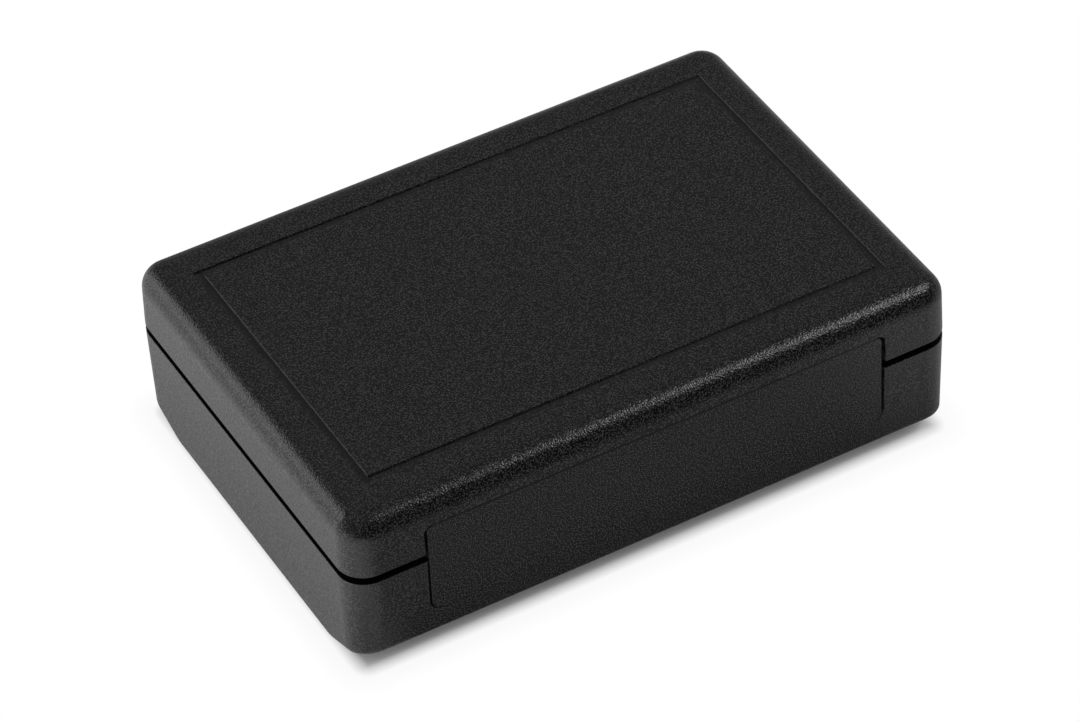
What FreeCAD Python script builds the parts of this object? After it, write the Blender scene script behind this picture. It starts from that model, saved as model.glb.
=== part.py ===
"""Plastic project box: two screwed shells with a flush panel in each long side.

Millimetres. The origin is the centre of the footprint on the surface the box stands on, X runs along
the long sides, the front panel faces -Y and Z is up. Eight pieces are modelled: the top cover, the
bottom cover, two panels and four self-tapping screws that come up from below.
"""
import FreeCAD
import Part
import math
import os
import re
import Sketcher

# Driving dimensions, in millimetres, with drafts in degrees
SIZES = {
    # Case
    "case_length": 96.0,
    "case_width": 66.0,
    "case_height": 28.0,
    "corner_radius": 4.2,
    "wall": 2.0,
    "cover_height": 9.7,
    "cover_draft": 1.4,
    "base_draft": 1.15,
    "shadow_gap": 1.25,
    "top_edge_radius": 3.5,
    "inner_chamfer": 0.9,
    "bottom_edge_radius": 1.2,
    # Bevel along the underside of each long side, measured from the case's full width
    "bevel_width": 9.65,
    "bevel_rise": 3.55,
    "bevel_blend": 6.6,
    # Lip of the bottom cover, which enters a rebate in the top cover
    "skirt": 1.1,
    "lip_wall": 0.7,
    "lip_rise": 2.2,
    "lip_play": 0.1,
    # Groove that frames the label area, at a margin from each end and side of the case
    "label_end_margin": 7.75,
    "label_side_margin": 8.6,
    "groove_width": 1.25,
    "groove_depth": 0.2,
    # Panels and the slots that hold their flanges
    "panel_end_margin": 11.9,
    "panel_top_margin": 4.9,
    "panel_bottom": 7.3,
    "panel_upper_radius": 1.1,
    "panel_lower_radius": 1.7,
    "panel_recess": 0.2,
    "panel_setback": 0.4,
    "cover_side_play": 0.55,
    "base_side_play": 0.4,
    "panel_top_play": 0.1,
    "panel_seat_play": 0.05,
    "flange_width": 1.5,
    "flange_wall": 1.2,
    "flange_radius": 1.0,
    "slot_play": 0.1,
    "rib_wall": 1.2,
    # Screw posts
    "screw_end_margin": 5.6,
    "screw_side_margin": 5.6,
    "post_diameter": 6.2,
    "collar_diameter": 8.8,
    "collar_wall": 2.0,
    "head_seat": 7.0,
    "head_hole": 6.2,
    "clearance_hole": 3.2,
    "pilot_play": 0.1,
    "pilot_spare": 1.0,
    # Self-tapping screw, whose tip ends at a depth below the top of the case
    "screw_tip_depth": 5.0,
    "shank_diameter": 2.5,
    "head_diameter": 5.6,
    "head_height": 2.1,
    "cross_span": 2.8,
    "cross_blade": 0.65,
    "cross_depth": 1.3,
    "cross_draft": 8.0,
    # Board standoffs
    "board_end_margin": 14.0,
    "board_side_margin": 16.0,
    "standoff_diameter": 5.0,
    "standoff_height": 3.2,
    "board_hole": 2.2,
    "board_hole_depth": 3.6,
}

# Levels and half sizes that several pieces share, as formulas on the sizes above
COVER_EDGE = "(case_height - cover_height)"
BASE_EDGE = "(case_height - cover_height - shadow_gap)"
CEILING = "(case_height - wall)"
LABEL_LENGTH = "(case_length - 2 * label_end_margin)"
LABEL_WIDTH = "(case_width - 2 * label_side_margin)"
PANEL_TOP = "(case_height - panel_top_margin)"
PANEL_END = "(case_length / 2 - panel_end_margin)"
FLANGE_FRONT = "(case_width / 2 - wall - panel_setback)"
RIB_OUTER = "(case_width / 2 - wall - panel_setback - flange_wall - slot_play)"
RIB_ROOT = "(bevel_rise * (" + RIB_OUTER + " - case_width / 2 + bevel_width) / bevel_width + wall / 3)"
RIB_END = "(case_length / 2 - 0.75 * wall)"
SCREW_X = "(case_length / 2 - screw_end_margin)"
SCREW_Y = "(case_width / 2 - screw_side_margin)"
SCREW_TIP = "(case_height - screw_tip_depth)"
BOARD_X = "(case_length / 2 - board_end_margin)"
BOARD_Y = "(case_width / 2 - board_side_margin)"

QUADRANTS = ((1, 1), (-1, 1), (-1, -1), (1, -1))
NAMES = re.compile(r"\b(" + "|".join(SIZES) + r")\b")
TOLERANCE = 1e-4

doc = FreeCAD.newDocument("ProjectBox")


def make_sheet():
    """Write the driving dimensions into a spreadsheet, one aliased cell each."""
    sheet = doc.addObject("Spreadsheet::Sheet", "Sizes")
    for row, (name, value) in enumerate(SIZES.items(), start=1):
        sheet.set("A%d" % row, name)
        sheet.set("B%d" % row, str(value))
        sheet.setAlias("B%d" % row, name)
    doc.recompute()
    return sheet


def bind(target, prop, formula):
    """Tie a property to the sheet: each size's name in the formula stands for its cell."""
    target.setExpression(prop, NAMES.sub(r"Sizes.\1", formula))


def new_body(name):
    body = doc.addObject("PartDesign::Body", name)
    body.Label = name
    return body


def origin_plane(body, role):
    return next(item for item in body.Origin.OriginFeatures if item.Role == role)


def new_sketch(body, name, role, offset=None):
    """A sketch on one of the body's own origin planes, moved along its normal by the offset formula."""
    sketch = body.newObject("Sketcher::SketchObject", name)
    sketch.AttachmentSupport = (origin_plane(body, role), [""])
    sketch.MapMode = "FlatFace"
    if offset:
        bind(sketch, "AttachmentOffset.Base.z", offset)
    return sketch


def dimension(sketch, constraint, formula):
    """Add a driving constraint and tie its value to a formula."""
    index = sketch.addConstraint(constraint)
    bind(sketch, "Constraints[%d]" % index, formula)


def place_point(sketch, geometry, end, x, y, start):
    """Fix a point by its distances from the origin. A formula that starts with a minus lies on that side."""
    for kind, formula, at in (("DistanceX", x, start[0]), ("DistanceY", y, start[1])):
        if formula.startswith("-"):
            constraint = Sketcher.Constraint(kind, geometry, end, -1, 1, abs(at))
            dimension(sketch, constraint, formula[1:])
        else:
            constraint = Sketcher.Constraint(kind, -1, 1, geometry, end, abs(at))
            dimension(sketch, constraint, formula)


def draw_polygon(sketch, corners):
    """Closed outline of straight lines through corners given as pairs of formulas."""
    first = sketch.GeometryCount
    count = len(corners)
    rough = []
    for index, (x, y) in enumerate(corners):
        side_x = -1 if x.startswith("-") else 1
        side_y = -1 if y.startswith("-") else 1
        rough.append(FreeCAD.Vector(side_x * (10 + index), side_y * (10 + 2 * index), 0))
    for index in range(count):
        sketch.addGeometry(Part.LineSegment(rough[index], rough[(index + 1) % count]), False)
    for index in range(count):
        following = first + (index + 1) % count
        sketch.addConstraint(Sketcher.Constraint("Coincident", first + index, 2, following, 1))
    for index, (x, y) in enumerate(corners):
        place_point(sketch, first + index, 1, x, y, rough[index])


def draw_rectangle(sketch, length, width):
    """Rectangle about the origin."""
    half_x = "(%s) / 2" % length
    half_y = "(%s) / 2" % width
    draw_polygon(sketch, [(half_x, half_y), ("-" + half_x, half_y), ("-" + half_x, "-" + half_y),
                          (half_x, "-" + half_y)])


def draw_circle(sketch, x, y, diameter):
    """Circle whose centre is given by a pair of formulas."""
    side_x = -1 if x.startswith("-") else 1
    side_y = -1 if y.startswith("-") else 1
    rough = FreeCAD.Vector(side_x * 20, side_y * 20, 0)
    index = sketch.addGeometry(Part.Circle(rough, FreeCAD.Vector(0, 0, 1), 2), False)
    place_point(sketch, index, 3, x, y, rough)
    dimension(sketch, Sketcher.Constraint("Diameter", index, 4.0), diameter)


def draw_four_circles(sketch, x, y, diameter):
    """One circle in each quadrant, at the same distances from both axes."""
    for side_x, side_y in QUADRANTS:
        draw_circle(sketch, ("-" if side_x < 0 else "") + x, ("-" if side_y < 0 else "") + y, diameter)


def draw_rounded(sketch, half_length, low, high, low_radius, high_radius):
    """Rounded rectangle, symmetric about the sketch's vertical axis, between two heights.

    low and high are formulas measured from the sketch's origin, and one that starts with a minus lies
    below it. Four straight sides are joined by four tangent corner arcs.
    """
    first = sketch.GeometryCount
    reach = 30.0
    radius = 3.0
    base = -20.0 if low.startswith("-") else 5.0
    top = 20.0
    up = FreeCAD.Vector(0, 0, 1)
    sides = (((-reach + radius, base), (reach - radius, base)), ((reach, base + radius), (reach, top - radius)),
             ((reach - radius, top), (-reach + radius, top)), ((-reach, top - radius), (-reach, base + radius)))
    for (x0, y0), (x1, y1) in sides:
        sketch.addGeometry(Part.LineSegment(FreeCAD.Vector(x0, y0, 0), FreeCAD.Vector(x1, y1, 0)), False)
    centres = ((reach - radius, base + radius), (reach - radius, top - radius),
               (-reach + radius, top - radius), (-reach + radius, base + radius))
    for index, (x, y) in enumerate(centres):
        circle = Part.Circle(FreeCAD.Vector(x, y, 0), up, radius)
        start = (index - 1) * math.pi / 2
        sketch.addGeometry(Part.ArcOfCircle(circle, start, start + math.pi / 2), False)
    bottom, right, upper, left = range(first, first + 4)
    low_right, high_right, high_left, low_left = range(first + 4, first + 8)
    joints = ((bottom, low_right, right), (right, high_right, upper), (upper, high_left, left),
              (left, low_left, bottom))
    for before, arc, after in joints:
        sketch.addConstraint(Sketcher.Constraint("Tangent", before, 2, arc, 1))
        sketch.addConstraint(Sketcher.Constraint("Tangent", arc, 2, after, 1))
    for line in (bottom, upper):
        sketch.addConstraint(Sketcher.Constraint("Horizontal", line))
    for line in (left, right):
        sketch.addConstraint(Sketcher.Constraint("Vertical", line))
    sketch.addConstraint(Sketcher.Constraint("Equal", low_left, low_right))
    sketch.addConstraint(Sketcher.Constraint("Equal", high_left, high_right))
    dimension(sketch, Sketcher.Constraint("DistanceX", -1, 1, right, 1, reach), half_length)
    dimension(sketch, Sketcher.Constraint("DistanceX", left, 1, -1, 1, reach), half_length)
    if low.startswith("-"):
        dimension(sketch, Sketcher.Constraint("DistanceY", bottom, 1, -1, 1, -base), low[1:])
    else:
        dimension(sketch, Sketcher.Constraint("DistanceY", -1, 1, bottom, 1, base), low)
    dimension(sketch, Sketcher.Constraint("DistanceY", -1, 1, upper, 1, top), high)
    dimension(sketch, Sketcher.Constraint("Radius", low_right, radius), low_radius)
    dimension(sketch, Sketcher.Constraint("Radius", high_right, radius), high_radius)


def draw_plan(sketch, inset):
    """The case's outline seen from above, moved inwards all round by the inset formula."""
    half_width = "(case_width / 2 - (%s))" % inset
    radius = "corner_radius - (%s)" % inset
    draw_rounded(sketch, "case_length / 2 - (%s)" % inset, "-" + half_width, half_width, radius, radius)


def add_pad(body, name, sketch, length, down=False, draft=None):
    pad = body.newObject("PartDesign::Pad", name)
    pad.Profile = sketch
    pad.Reversed = down
    bind(pad, "Length", length)
    if draft:
        bind(pad, "TaperAngle", draft)
    doc.recompute()
    return pad


def add_pocket(body, name, sketch, depth, up=False, draft=None):
    """Cut a sketch into the body, and stop where the cut removes nothing."""
    before = body.Shape.Volume
    pocket = body.newObject("PartDesign::Pocket", name)
    pocket.Profile = sketch
    pocket.Reversed = up
    bind(pocket, "Length", depth)
    if draft:
        bind(pocket, "TaperAngle", draft)
    doc.recompute()
    if body.Shape.Volume > before - TOLERANCE:
        raise ValueError(name + " cuts nothing")
    return pocket


def add_through_pocket(body, name, sketch):
    """Cut a sketch right through the body, both ways from its plane."""
    before = body.Shape.Volume
    pocket = body.newObject("PartDesign::Pocket", name)
    pocket.Profile = sketch
    pocket.SideType = "Symmetric"
    pocket.Type = "ThroughAll"
    doc.recompute()
    if body.Shape.Volume > before - TOLERANCE:
        raise ValueError(name + " cuts nothing")
    return pocket


def add_mirror(body, name, originals, role):
    mirror = body.newObject("PartDesign::Mirrored", name)
    mirror.Originals = originals
    mirror.MirrorPlane = (origin_plane(body, role), [""])
    body.Tip = mirror
    doc.recompute()
    return mirror


def add_fillet(body, name, feature, edges, radius):
    fillet = body.newObject("PartDesign::Fillet", name)
    fillet.Base = (feature, edges)
    bind(fillet, "Radius", radius)
    doc.recompute()
    return fillet


def add_chamfer(body, name, feature, edges, size):
    chamfer = body.newObject("PartDesign::Chamfer", name)
    chamfer.Base = (feature, edges)
    bind(chamfer, "Size", size)
    doc.recompute()
    return chamfer


def add_cavity(body, cavity):
    """Hollow a body with the form of another body."""
    before = body.Shape.Volume
    cut = body.newObject("PartDesign::Boolean", body.Name + "_hollow")
    cut.Type = "Cut"
    cut.setObjects([cavity])
    body.Tip = cut
    doc.recompute()
    if body.Shape.Volume > before - TOLERANCE:
        raise ValueError(cut.Name + " hollows nothing")
    return cut


def edges_at_level(feature, level):
    """Names of the edges that lie flat at the given height."""
    names = []
    for index, edge in enumerate(feature.Shape.Edges, start=1):
        box = edge.BoundBox
        if abs(box.ZMin - level) < TOLERANCE and abs(box.ZMax - level) < TOLERANCE:
            names.append("Edge%d" % index)
    return names


def slope_beside(face, edge):
    """The vertical part of a face's outward normal at the middle of one of its edges."""
    middle = edge.valueAt((edge.FirstParameter + edge.LastParameter) / 2)
    u, v = face.Surface.parameter(middle)
    return face.normalAt(u, v).z


def underside_outline(feature):
    """Names of the edges where the underside meets the outer walls."""
    names = []
    for index, edge in enumerate(feature.Shape.Edges, start=1):
        slopes = [slope_beside(face, edge) for face in feature.Shape.ancestorsOfType(edge, Part.Face)]
        if min(slopes) < -0.9 and min(abs(slope) for slope in slopes) < 0.1:
            names.append("Edge%d" % index)
    return names


def bevel_edges(feature, level, offset):
    """Names of the long edges where the flat of the underside meets its bevels."""
    names = []
    for index, edge in enumerate(feature.Shape.Edges, start=1):
        box = edge.BoundBox
        straight = box.YLength < TOLERANCE and abs(box.ZMax - level) < TOLERANCE
        if straight and abs(abs(box.YMin) - offset) < TOLERANCE:
            names.append("Edge%d" % index)
    return names


def cover_form(body, inset, height):
    """The top cover's form, or its cavity, with drafted walls. Returns the block and its top edges."""
    plan = new_sketch(body, body.Name + "_plan", "XY_Plane", COVER_EDGE)
    draw_plan(plan, inset)
    block = add_pad(body, body.Name + "_block", plan, height, draft="-cover_draft")
    return block, edges_at_level(block, block.Shape.BoundBox.ZMax)


def base_form(body, sheet, inset, radius):
    """The bottom cover's form, or its cavity: drafted walls, bevelled along the long sides."""
    plan = new_sketch(body, body.Name + "_plan", "XY_Plane", BASE_EDGE)
    draw_plan(plan, inset)
    block = add_pad(body, body.Name + "_block", plan, BASE_EDGE + " - " + inset, down=True, draft="-base_draft")
    level = block.Shape.BoundBox.ZMin
    bevels = new_sketch(body, body.Name + "_bevel_sketch", "YZ_Plane")
    flat = "(case_width / 2 - bevel_width)"
    edge = "(case_width / 2)"
    rise = inset + " + bevel_rise"
    draw_polygon(bevels, [(flat, inset), (edge, inset), (edge, rise)])
    draw_polygon(bevels, [("-" + flat, inset), ("-" + edge, inset), ("-" + edge, rise)])
    bevelled = add_through_pocket(body, body.Name + "_bevels", bevels)
    long_edges = bevel_edges(bevelled, level, sheet.case_width / 2 - sheet.bevel_width)
    return add_fillet(body, body.Name + "_bevel_blends", bevelled, long_edges, radius)


def add_panel_ribs(body, root, edge, window):
    """The two bulkheads behind the panels' flanges, each with a window as wide as its panel.

    A bulkhead runs from the root level, inside the shell, to the shell's open edge, and the window from
    the open edge to the window level.
    """
    sketch = new_sketch(body, body.Name + "_rib_sketch", "XZ_Plane", RIB_OUTER + " - rib_wall")
    draw_polygon(sketch, [("-" + RIB_END, root), (RIB_END, root), (RIB_END, edge), (PANEL_END, edge),
                          (PANEL_END, window), ("-" + PANEL_END, window), ("-" + PANEL_END, edge),
                          ("-" + RIB_END, edge)])
    rib = add_pad(body, body.Name + "_front_rib", sketch, "rib_wall")
    add_mirror(body, body.Name + "_rear_rib", [rib], "XZ_Plane")


def add_panel_opening(body, side_play, low, high, low_radius, high_radius):
    """The opening for the panel, through both long walls."""
    sketch = new_sketch(body, body.Name + "_opening_sketch", "XZ_Plane")
    draw_rounded(sketch, PANEL_END + " + " + side_play, low, high, low_radius, high_radius)
    add_through_pocket(body, body.Name + "_opening", sketch)


def make_top_cover():
    body = new_body("top_cover")
    block, top = cover_form(body, "0", "cover_height")
    add_fillet(body, "top_edge", block, top, "top_edge_radius")
    cavity = new_body("top_cavity")
    block, top = cover_form(cavity, "wall", "cover_height - wall")
    add_chamfer(cavity, "top_cavity_edge", block, top, "inner_chamfer")
    add_cavity(body, cavity)
    # Openings for the panels, which run on into the bottom cover
    add_panel_opening(body, "cover_side_play", "panel_bottom", PANEL_TOP + " + panel_top_play",
                      "panel_lower_radius", "panel_upper_radius + panel_top_play")
    add_panel_ribs(body, CEILING + " + wall / 4", COVER_EDGE, PANEL_TOP)
    # Bosses that the screws cut their thread in
    bosses = new_sketch(body, "boss_sketch", "XY_Plane", COVER_EDGE)
    draw_four_circles(bosses, SCREW_X, SCREW_Y, "post_diameter")
    add_pad(body, "bosses", bosses, CEILING + " + wall / 2 - " + COVER_EDGE)
    pilots = new_sketch(body, "pilot_sketch", "XY_Plane", COVER_EDGE)
    draw_four_circles(pilots, SCREW_X, SCREW_Y, "shank_diameter + pilot_play")
    add_pocket(body, "pilot_holes", pilots, SCREW_TIP + " + pilot_spare - " + COVER_EDGE, up=True)
    # Rebate for the lip of the bottom cover
    rebate = new_sketch(body, "rebate_sketch", "XY_Plane", COVER_EDGE)
    draw_plan(rebate, "skirt")
    draw_plan(rebate, "wall + lip_play")
    add_pocket(body, "rebate", rebate, "lip_rise - shadow_gap + lip_play", up=True)
    # Groove that frames the label area
    groove = new_sketch(body, "groove_sketch", "XY_Plane", "case_height")
    draw_rectangle(groove, LABEL_LENGTH + " + 2 * groove_width", LABEL_WIDTH + " + 2 * groove_width")
    draw_rectangle(groove, LABEL_LENGTH, LABEL_WIDTH)
    add_pocket(body, "label_groove", groove, "groove_depth")
    return body


def make_bottom_cover(sheet):
    body = new_body("bottom_cover")
    blended = base_form(body, sheet, "0", "bevel_blend")
    add_fillet(body, "bottom_edge", blended, underside_outline(blended), "bottom_edge_radius")
    cavity = new_body("bottom_cavity")
    base_form(cavity, sheet, "wall", "bevel_blend - wall")
    # Screw posts, left standing in the cavity: a collar round each head recess and a tube above it
    collars = new_sketch(cavity, "collar_sketch", "XY_Plane")
    draw_four_circles(collars, SCREW_X, SCREW_Y, "collar_diameter")
    add_pocket(cavity, "collars", collars, "head_seat + collar_wall", up=True)
    tubes = new_sketch(cavity, "tube_sketch", "XY_Plane")
    draw_four_circles(tubes, SCREW_X, SCREW_Y, "post_diameter")
    add_pocket(cavity, "tubes", tubes, BASE_EDGE, up=True)
    add_cavity(body, cavity)
    # Lip that enters the top cover
    lip = new_sketch(body, "lip_sketch", "XY_Plane", BASE_EDGE)
    draw_plan(lip, "skirt + lip_play")
    draw_plan(lip, "skirt + lip_play + lip_wall")
    add_pad(body, "lip", lip, "lip_rise")
    # Openings for the panels, which run on into the top cover
    add_panel_opening(body, "base_side_play", "panel_bottom - panel_seat_play", PANEL_TOP,
                      "panel_lower_radius + base_side_play", "panel_upper_radius")
    add_panel_ribs(body, RIB_ROOT, BASE_EDGE, "panel_bottom")
    # Tops of the screw posts, which reach up to the top cover's bosses, and the holes through the posts
    tops = new_sketch(body, "post_top_sketch", "XY_Plane", BASE_EDGE)
    draw_four_circles(tops, SCREW_X, SCREW_Y, "post_diameter")
    add_pad(body, "post_tops", tops, "shadow_gap")
    heads = new_sketch(body, "head_hole_sketch", "XY_Plane")
    draw_four_circles(heads, SCREW_X, SCREW_Y, "head_hole")
    add_pocket(body, "head_holes", heads, "head_seat", up=True)
    shanks = new_sketch(body, "clearance_sketch", "XY_Plane")
    draw_four_circles(shanks, SCREW_X, SCREW_Y, "clearance_hole")
    add_pocket(body, "clearance_holes", shanks, COVER_EDGE, up=True)
    # Standoffs for a board screwed to the floor
    standoffs = new_sketch(body, "base_standoff_sketch", "XY_Plane", "wall / 2")
    draw_four_circles(standoffs, BOARD_X, BOARD_Y, "standoff_diameter")
    add_pad(body, "base_standoffs", standoffs, "wall / 2 + standoff_height")
    holes = new_sketch(body, "base_board_hole_sketch", "XY_Plane", "wall + standoff_height")
    draw_four_circles(holes, BOARD_X, BOARD_Y, "board_hole")
    add_pocket(body, "base_board_holes", holes, "board_hole_depth")
    return body


def make_panel(name, turned):
    """A flush panel with the flange that the slots of both covers hold."""
    body = new_body(name)
    face = "(case_width / 2 - panel_recess)"
    outline = new_sketch(body, name + "_outline", "XZ_Plane", FLANGE_FRONT)
    draw_rounded(outline, PANEL_END, "panel_bottom", PANEL_TOP, "panel_lower_radius",
                 "panel_upper_radius")
    add_pad(body, name + "_plate", outline, face + " - " + FLANGE_FRONT)
    rim = new_sketch(body, name + "_rim", "XZ_Plane", FLANGE_FRONT + " - flange_wall")
    draw_rounded(rim, PANEL_END + " + flange_width", "panel_bottom - flange_width",
                 PANEL_TOP + " + flange_width", "flange_radius", "flange_radius")
    add_pad(body, name + "_flange", rim, "flange_wall")
    if turned:
        body.Placement = FreeCAD.Placement(FreeCAD.Vector(), FreeCAD.Rotation(FreeCAD.Vector(0, 0, 1), 180))
    return body


def make_screw(name, side_x, side_y):
    """Cheese head self-tapping screw with a cross recess. Its head bears on the local XY plane."""
    body = new_body(name)
    profile = new_sketch(body, name + "_profile", "XZ_Plane")
    neck = "(shank_diameter / 2)"
    rim = "(head_diameter / 2)"
    reach = "(" + SCREW_TIP + " - head_seat)"
    draw_polygon(profile, [("0", "-head_height"), (rim, "-head_height"), (rim, "0"), (neck, "0"),
                           (neck, reach), ("0", reach)])
    turned = body.newObject("PartDesign::Revolution", name + "_turned")
    turned.Profile = profile
    turned.ReferenceAxis = (profile, ["V_Axis"])
    turned.Angle = 360
    doc.recompute()
    cross = new_sketch(body, name + "_cross", "XY_Plane", "-head_height")
    span = "(cross_span / 2)"
    blade = "(cross_blade / 2)"
    draw_polygon(cross, [(span, blade), (blade, blade), (blade, span), ("-" + blade, span),
                         ("-" + blade, blade), ("-" + span, blade), ("-" + span, "-" + blade),
                         ("-" + blade, "-" + blade), ("-" + blade, "-" + span), (blade, "-" + span),
                         (blade, "-" + blade), (span, "-" + blade)])
    add_pocket(body, name + "_recess", cross, "cross_depth", up=True, draft="-cross_draft")
    bind(body, "Placement.Base.x", "%d * %s" % (side_x, SCREW_X))
    bind(body, "Placement.Base.y", "%d * %s" % (side_y, SCREW_Y))
    bind(body, "Placement.Base.z", "head_seat")
    return body


def check_and_export(bodies):
    """Stop on any failed object or unsound solid, then write one STEP file for each piece."""
    doc.recompute()
    for item in doc.Objects:
        if "Invalid" in item.State or "Error" in item.State:
            raise ValueError(item.Name + " has failed")
    for body in bodies:
        shape = body.Shape
        if shape.isNull() or not shape.isValid() or len(shape.Solids) != 1:
            raise ValueError(body.Label + " is not one sound solid")
    os.makedirs("parts", exist_ok=True)
    for body in bodies:
        body.Shape.exportStep("parts/%s.step" % body.Label)
        print(body.Label, "%.1f mm3" % body.Shape.Volume)


sheet = make_sheet()
pieces = [make_top_cover(), make_bottom_cover(sheet), make_panel("front_panel", False),
          make_panel("rear_panel", True)]
for side_x, side_y in QUADRANTS:
    side = "right" if side_x > 0 else "left"
    end = "rear" if side_y > 0 else "front"
    pieces.append(make_screw("screw_%s_%s" % (end, side), side_x, side_y))
check_and_export(pieces)
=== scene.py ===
"""Looks of the black plastic project box: grained plastic, steel screws, white floor, soft light, camera.

Metres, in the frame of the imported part: X along the long sides, front panel at -Y, Z up.
"""
import math

import bpy
from mathutils import Matrix, Vector


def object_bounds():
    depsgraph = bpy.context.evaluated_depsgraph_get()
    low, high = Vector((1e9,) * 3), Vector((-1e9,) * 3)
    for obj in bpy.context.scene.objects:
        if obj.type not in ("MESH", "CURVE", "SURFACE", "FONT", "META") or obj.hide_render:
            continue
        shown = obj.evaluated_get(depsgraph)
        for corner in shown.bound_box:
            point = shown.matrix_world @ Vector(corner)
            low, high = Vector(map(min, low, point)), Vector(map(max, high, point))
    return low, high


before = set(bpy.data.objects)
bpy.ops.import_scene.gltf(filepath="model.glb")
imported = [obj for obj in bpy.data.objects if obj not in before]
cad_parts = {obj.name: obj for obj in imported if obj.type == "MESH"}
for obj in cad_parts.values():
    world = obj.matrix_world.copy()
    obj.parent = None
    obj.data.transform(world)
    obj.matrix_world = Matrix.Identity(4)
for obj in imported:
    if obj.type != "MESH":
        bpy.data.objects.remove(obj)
cad_low, cad_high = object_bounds()

COVERS = ("top_cover", "bottom_cover")
PANELS = ("front_panel", "rear_panel")
SCREWS = ("screw_front_left", "screw_front_right", "screw_rear_left", "screw_rear_right")

# Camera, from a fit to the photograph: angles in degrees, lengths in metres
UNIT = 0.96e-3
AZIMUTH = -27.377
ELEVATION = 41.745
ROLL = 3.293
OFFSET = (0.204 * UNIT, 5.634 * UNIT)
DISTANCE = 750.19 * UNIT
AIM_HEIGHT = 0.0183
FOCAL_PIXELS = 5085.7
PHOTO_WIDTH = 1080
SENSOR_WIDTH = 36.0

# Light from all around, the dim room that shows in the plastic, and the shade on the floor along the box
OPEN_LIGHT = 0.8
DIM_ROOM = 0.22
SHADE_WIDTH = 0.0025
SHADE_END = 0.007
FLOOR_HALF = 3.0

# Plastic: size of the grain, the noise levels of its pits and peaks, and radius and polish of the sharp edges
GRAIN = 0.00022
PIT_LEVEL = 0.43
PEAK_LEVEL = 0.7
EDGE_RADIUS = 0.00015
EDGE_POLISH = 0.08

# The ends of the box are a little rougher, and their colour carries a painted sheen: lighter, with stronger grain,
# standing in for grazing light
END_GRAIN_SHEEN = 1.5
END_ROUGHNESS = 0.13

# Flat top with the groove around the label area: its half length and half width, the height where it starts,
# the level of the groove's floor, and the strips of that floor in the shade of the groove's walls (in X, in Y)
FLAT_TOP = (0.043, 0.028)
FLAT_START = (0.0270, 0.0271)
GROOVE_FLOOR = (0.02781, 0.02785)
GROOVE_SHADE = (((-0.0409, -0.0402), (0.0410, 0.0416)), ((-0.0248, -0.0243), (0.0254, 0.0258)))
# Painted shade: darkening of the groove's floor and walls, stronger on the shaded strips
GROOVE_PAINTED_SHADE = 0.4
SHADE_DARK = 0.9
# Painted highlight on the label area's edges
LABEL_EDGE_HIGHLIGHT = 1.6

# Painted shade in the shadow gap between the covers, and a painted shade line along the top of the panels
SHADOW_GAP = (0.01703, 0.01831)
GAP_PAINTED_SHADE = 0.95
PANEL_TOP = 0.02285
PANEL_SHADE_LINE = 0.00015


class Nodes:
    """A short way to write a node tree."""

    def __init__(self, tree):
        self.tree = tree
        tree.nodes.clear()

    def add(self, kind, inputs=None, **settings):
        node = self.tree.nodes.new(kind)
        for name, value in settings.items():
            setattr(node, name, value)
        for name, value in (inputs or {}).items():
            if hasattr(value, "is_output"):
                self.tree.links.new(value, node.inputs[name])
            else:
                node.inputs[name].default_value = value
        return node

    def math(self, operation, first, second=0.0, third=0.0):
        inputs = {0: first, 1: second, 2: third}
        if operation != "MULTIPLY_ADD":
            del inputs[2]
        return self.add("ShaderNodeMath", inputs, operation=operation).outputs[0]


def ramp(n, value, low, high, start=0.0, end=1.0, smooth=True):
    """Value taken from start to end as the input goes from low to high."""
    kind = "SMOOTHSTEP" if smooth else "LINEAR"
    inputs = {"Value": value, "From Min": low, "From Max": high, "To Min": start, "To Max": end}
    return n.add("ShaderNodeMapRange", inputs, interpolation_type=kind).outputs["Result"]


def inside(n, value, low, high, fade):
    """1 between two levels and 0 outside them, with soft sides."""
    above = ramp(n, value, low - fade, low + fade)
    below = ramp(n, value, high + fade, high - fade)
    return n.math("MULTIPLY", above, below)


def split(n, vector):
    """X, Y and Z of a vector."""
    return n.add("ShaderNodeSeparateXYZ", {"Vector": vector}).outputs


def noise(n, place, scale, **more):
    """Plain noise, about 0.5 on average."""
    inputs = {"Vector": place, "Scale": scale}
    inputs.update(more)
    return n.add("ShaderNodeTexNoise", inputs).outputs["Fac"]


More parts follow.
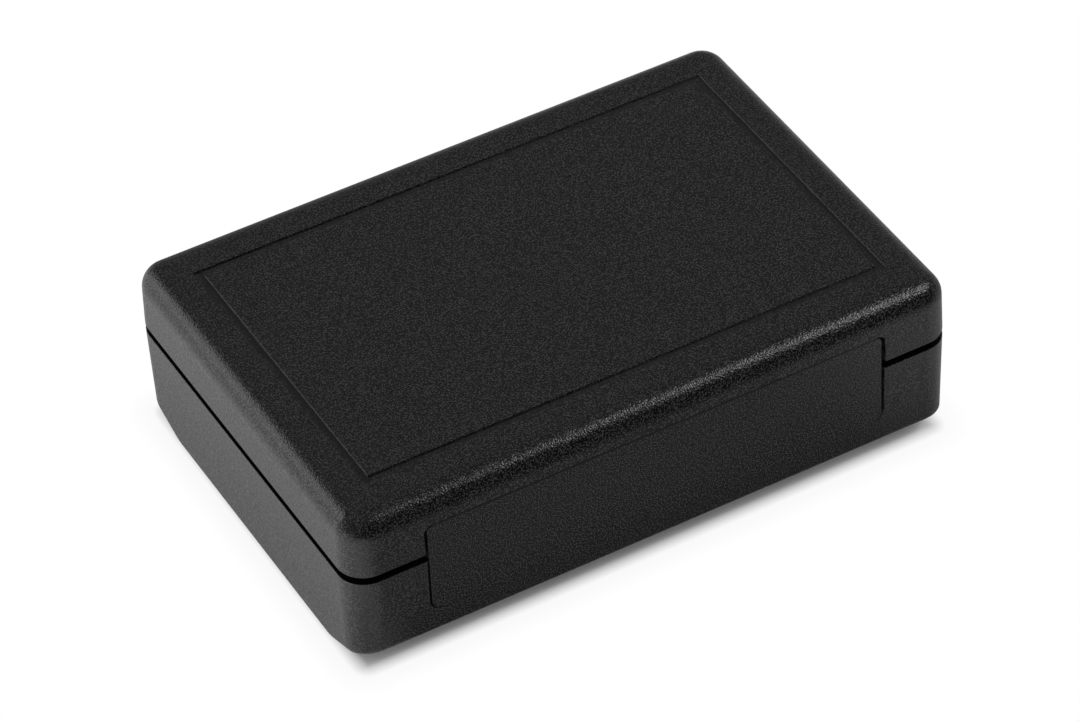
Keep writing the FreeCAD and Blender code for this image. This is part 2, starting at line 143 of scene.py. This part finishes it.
def mark_cover(n, tone, place, facing, rounded, worn_and_lit_edge):
    """Painted shade in the groove and the shadow gap, and a painted highlight on the label area's edges that face
    its ends.
    """
    x, y, z = split(n, place)
    framed = ramp(n, z, *FLAT_START)
    for side, reach in zip((x, y), FLAT_TOP):
        framed = n.math("MULTIPLY", framed, inside(n, side, -reach, reach, 0.0001))
    # Painted shade on the groove's floor, strongest in the strips beside its walls, and on its walls
    shade = GROOVE_PAINTED_SHADE
    for side, strips in zip((x, y), GROOVE_SHADE):
        for low, high in strips:
            strip = n.math("MULTIPLY", inside(n, side, low, high, 0.00005), SHADE_DARK)
            shade = n.math("MAXIMUM", shade, strip)
    floor_shade = n.math("MULTIPLY", ramp(n, z, GROOVE_FLOOR[1], GROOVE_FLOOR[0]), shade)
    wall_shade = ramp(n, n.math("ABSOLUTE", split(n, facing)["Y"]), 0.4, 0.7)
    groove = n.math("MULTIPLY", framed, n.math("MAXIMUM", floor_shade, wall_shade))
    # Painted shade darkens the shadow gap between the covers
    gap = n.math("MULTIPLY", inside(n, z, *SHADOW_GAP, 0.00001), GAP_PAINTED_SHADE)
    tone = n.math("MULTIPLY", tone, n.math("SUBTRACT", 1.0, n.math("MAXIMUM", groove, gap)))
    # Painted highlight on the label area's edges that face the ends, full on those facing -X, fainter on +X
    sideways = split(n, rounded)["X"]
    lit = n.math("MAXIMUM", ramp(n, sideways, -0.1, -0.4), ramp(n, sideways, 0.1, 0.5, 0.0, 0.3))
    edge = n.math("MULTIPLY", framed, n.math("MULTIPLY", worn_and_lit_edge, lit))
    return n.math("MULTIPLY_ADD", edge, LABEL_EDGE_HIGHLIGHT, tone)


def mark_panel(n, tone, place):
    """A painted shade line along the panel's top edge, where it meets the cover."""
    return n.math("MULTIPLY", tone, ramp(n, split(n, place)["Z"], PANEL_TOP, PANEL_TOP - PANEL_SHADE_LINE))


def grained_plastic(name, pit, peak, roughness, depth, on_cover=False):
    """Black moulded plastic: a fine spark-eroded grain with darker pits, on edges that are slightly rounded.

    Handling has polished the sharp edges a little. The ends' colour carries a painted sheen, and the marks add
    painted shade and a painted highlight.
    """
    material = bpy.data.materials.new(name)
    material.use_nodes = True
    n = Nodes(material.node_tree)
    place = n.add("ShaderNodeTexCoord").outputs["Object"]
    pits = noise(n, place, 1.0 / GRAIN, Detail=0.4, Roughness=0.5)
    swell = noise(n, place, 0.5 / GRAIN, Detail=0.5)
    height = n.math("MULTIPLY_ADD", swell, 0.5, pits)
    rounded = n.add("ShaderNodeBevel", {"Radius": EDGE_RADIUS}, samples=6).outputs["Normal"]
    facing = n.add("ShaderNodeNewGeometry").outputs["Normal"]
    turned = n.add("ShaderNodeVectorMath", {0: rounded, 1: facing}, operation="DOT_PRODUCT").outputs["Value"]
    worn_and_lit_edge = ramp(n, turned, 0.99, 0.85)
    ends = ramp(n, n.math("ABSOLUTE", split(n, facing)["X"]), 0.6, 0.9)
    # Painted sheen: the ends' colour is lighter and its grain stronger, standing in for grazing light
    end_sheen = n.math("MULTIPLY_ADD", ends, END_GRAIN_SHEEN, 1.0)
    tone = n.math("MULTIPLY", ramp(n, pits, PIT_LEVEL, PEAK_LEVEL), end_sheen)
    if on_cover:
        tone = mark_cover(n, tone, place, facing, rounded, worn_and_lit_edge)
    else:
        tone = mark_panel(n, tone, place)
    greys = {"Factor": tone, 6: (pit, pit, pit, 1.0), 7: (peak, peak, peak, 1.0)}
    colour = n.add("ShaderNodeMix", greys, data_type="RGBA", clamp_factor=False).outputs[2]
    rough = ramp(n, swell, 0.3, 0.7, roughness - 0.05, roughness + 0.05)
    rough = n.math("MULTIPLY_ADD", worn_and_lit_edge, -EDGE_POLISH, rough)
    rough = n.math("MULTIPLY_ADD", ends, END_ROUGHNESS, rough)
    relief = {"Strength": 1.0, "Distance": depth, "Height": height, "Normal": rounded}
    normal = n.add("ShaderNodeBump", relief).outputs["Normal"]
    surface = {"Base Color": colour, "Roughness": rough, "Normal": normal}
    shader = n.add("ShaderNodeBsdfPrincipled", surface)
    n.add("ShaderNodeOutputMaterial", {"Surface": shader.outputs["BSDF"]})
    return material


def plated_steel(name):
    """Zinc-plated steel, slightly mottled."""
    material = bpy.data.materials.new(name)
    material.use_nodes = True
    n = Nodes(material.node_tree)
    place = n.add("ShaderNodeTexCoord").outputs["Object"]
    mottle = noise(n, place, 900.0, Detail=3.0)
    roughness = n.math("MULTIPLY_ADD", mottle, 0.2, 0.22)
    normal = n.add("ShaderNodeBump", {"Strength": 0.3, "Distance": 0.00002, "Height": mottle}).outputs["Normal"]
    surface = {"Base Color": (0.6, 0.6, 0.58, 1.0), "Metallic": 1.0, "Roughness": roughness, "Normal": normal}
    shader = n.add("ShaderNodeBsdfPrincipled", surface)
    n.add("ShaderNodeOutputMaterial", {"Surface": shader.outputs["BSDF"]})
    return material


def dress(nodes, material):
    """Puts a material into all slots of some pieces."""
    for node in nodes:
        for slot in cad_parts[node].material_slots:
            slot.material = material


def make_camera():
    azimuth, elevation, roll = (math.radians(angle) for angle in (AZIMUTH, ELEVATION, ROLL))
    outward = math.cos(elevation)
    back = Vector((math.sin(azimuth) * outward, -math.cos(azimuth) * outward, math.sin(elevation)))
    level = Vector((math.cos(azimuth), math.sin(azimuth), 0.0))
    upright = back.cross(level)
    right = math.cos(roll) * level - math.sin(roll) * upright
    up = math.sin(roll) * level + math.cos(roll) * upright
    place = -OFFSET[0] * right - OFFSET[1] * up + DISTANCE * back + Vector((0.0, 0.0, AIM_HEIGHT))
    turn = Matrix((right, up, back)).transposed().to_4x4()
    lens = bpy.data.cameras.new("photo_camera")
    lens.sensor_fit = "HORIZONTAL"
    lens.sensor_width = SENSOR_WIDTH
    lens.lens = FOCAL_PIXELS / PHOTO_WIDTH * SENSOR_WIDTH
    lens.clip_start = 0.01
    lens.clip_end = 20.0
    camera = bpy.data.objects.new("photo_camera", lens)
    camera.matrix_world = Matrix.Translation(place) @ turn
    bpy.context.scene.collection.objects.link(camera)
    bpy.context.scene.camera = camera


def plain_floor(n, x, y):
    """How plain white the floor is: 0 under the box, where the light alone shades it, and 1 away from it."""
    beyond = []
    for side, edge in ((x, cad_high[0]), (y, cad_high[1])):
        off = n.math("SUBTRACT", n.math("ABSOLUTE", side), edge - SHADE_WIDTH)
        beyond.append(n.math("MAXIMUM", off, 0.0))
    squares = [n.math("MULTIPLY", side, side) for side in beyond]
    distance = n.math("SQRT", n.math("ADD", *squares))
    near = ramp(n, distance, 0.0, SHADE_WIDTH, 0.0, 0.9, smooth=False)
    far = ramp(n, distance, SHADE_WIDTH, SHADE_END, 0.0, 0.1)
    return n.math("ADD", near, far)


def floor_shine(n, x, y):
    """What shines back from the floor in the plastic.

    It is dim close in front of the box, bright on the left and fair on the right. It fades far out in front and on
    the right.
    """
    level = 0.27
    changes = (
        (y, -0.048, -0.034, -0.15),
        (y, 0.0, 0.06, 0.1),
        (x, -0.035, -0.048, 0.45),
        (x, -0.05, -0.064, 0.30),
        (x, 0.03, 0.065, 0.28),
    )
    for side, start, end, change in changes:
        level = n.math("ADD", level, ramp(n, side, start, end, 0.0, change))
    in_front = ramp(n, y, -0.12, -0.05, 0.15, 1.0)
    on_right = ramp(n, x, 0.13, 0.075, 0.75, 1.0)
    return n.math("MULTIPLY", level, n.math("MULTIPLY", in_front, on_right))


def make_floor():
    """A wide white floor that keeps the shadow of the box."""
    mesh = bpy.data.meshes.new("floor")
    corners = [(x * FLOOR_HALF, y * FLOOR_HALF, 0.0) for x, y in ((-1, -1), (1, -1), (1, 1), (-1, 1))]
    mesh.from_pydata(corners, [], [(0, 1, 2, 3)])
    floor = bpy.data.objects.new("floor", mesh)
    bpy.context.scene.collection.objects.link(floor)
    material = bpy.data.materials.new("floor_white")
    material.use_nodes = True
    n = Nodes(material.node_tree)
    x, y, _ = split(n, n.add("ShaderNodeTexCoord").outputs["Object"])
    rays = n.add("ShaderNodeLightPath").outputs
    mirrored = n.math("MAXIMUM", rays["Is Glossy Ray"], rays["Is Transmission Ray"])
    plain = n.math("MULTIPLY", rays["Is Camera Ray"], plain_floor(n, x, y))
    paper = n.add("ShaderNodeBsdfDiffuse", {"Color": (0.85, 0.85, 0.85, 1.0)}).outputs[0]
    white = n.add("ShaderNodeEmission", {"Color": (1.0, 1.0, 1.0, 1.0), "Strength": 1.0}).outputs[0]
    shine = {"Color": (1.0, 1.0, 1.0, 1.0), "Strength": floor_shine(n, x, y)}
    glow = n.add("ShaderNodeEmission", shine).outputs[0]
    seen = n.add("ShaderNodeMixShader", {"Fac": plain, 1: paper, 2: white}).outputs[0]
    mix = n.add("ShaderNodeMixShader", {"Fac": mirrored, 1: seen, 2: glow}).outputs[0]
    n.add("ShaderNodeOutputMaterial", {"Surface": mix})
    mesh.materials.append(material)


def make_world():
    """White to the camera, open light on the surfaces, and a dim room in what the plastic mirrors."""
    world = bpy.data.worlds.new("studio")
    bpy.context.scene.world = world
    world.use_nodes = True
    n = Nodes(world.node_tree)
    rays = n.add("ShaderNodeLightPath").outputs
    direction = n.add("ShaderNodeTexCoord").outputs["Generated"]
    # The room hardly shines at all low down in front
    low_front = {0: direction, 1: (0.25, -0.95, 0.15)}
    ahead = n.add("ShaderNodeVectorMath", low_front, operation="DOT_PRODUCT").outputs["Value"]
    room = ramp(n, ahead, 0.5, 0.85, DIM_ROOM, 0.2 * DIM_ROOM)
    open_light = n.math("MULTIPLY", rays["Is Diffuse Ray"], OPEN_LIGHT)
    strength = n.math("MAXIMUM", rays["Is Camera Ray"], n.math("MAXIMUM", open_light, room))
    glow = n.add("ShaderNodeBackground", {"Color": (1.0, 1.0, 1.0, 1.0), "Strength": strength})
    n.add("ShaderNodeOutputWorld", {"Surface": glow.outputs[0]})


def add_lamp(name, toward, distance, size, radiance):
    """A softbox in a direction from the box, aimed at it, of the given size and brightness."""
    light = bpy.data.lights.new(name, "AREA")
    light.shape = "RECTANGLE"
    light.size, light.size_y = size
    light.energy = math.pi * size[0] * size[1] * radiance
    lamp = bpy.data.objects.new(name, light)
    lamp.location = Vector(toward).normalized() * distance
    lamp.rotation_euler = Vector(toward).to_track_quat("Z", "Y").to_euler()
    lamp.visible_camera = False
    bpy.context.scene.collection.objects.link(lamp)


dress(COVERS, grained_plastic("cover_plastic", 0.002, 0.031, 0.2, 0.00005, on_cover=True))
dress(PANELS, grained_plastic("panel_plastic", 0.0, 0.034, 0.22, 0.00007))
dress(SCREWS, plated_steel("zinc_plated_steel"))

make_camera()
make_floor()
make_world()
add_lamp("front_softbox", (0.58, -0.43, 0.80), 0.55, (0.26, 0.10), 6.8)
add_lamp("rear_softbox", (-0.66, 0.70, 0.34), 0.6, (0.36, 0.32), 1.7)

bpy.context.scene.view_settings.view_transform = "Standard"
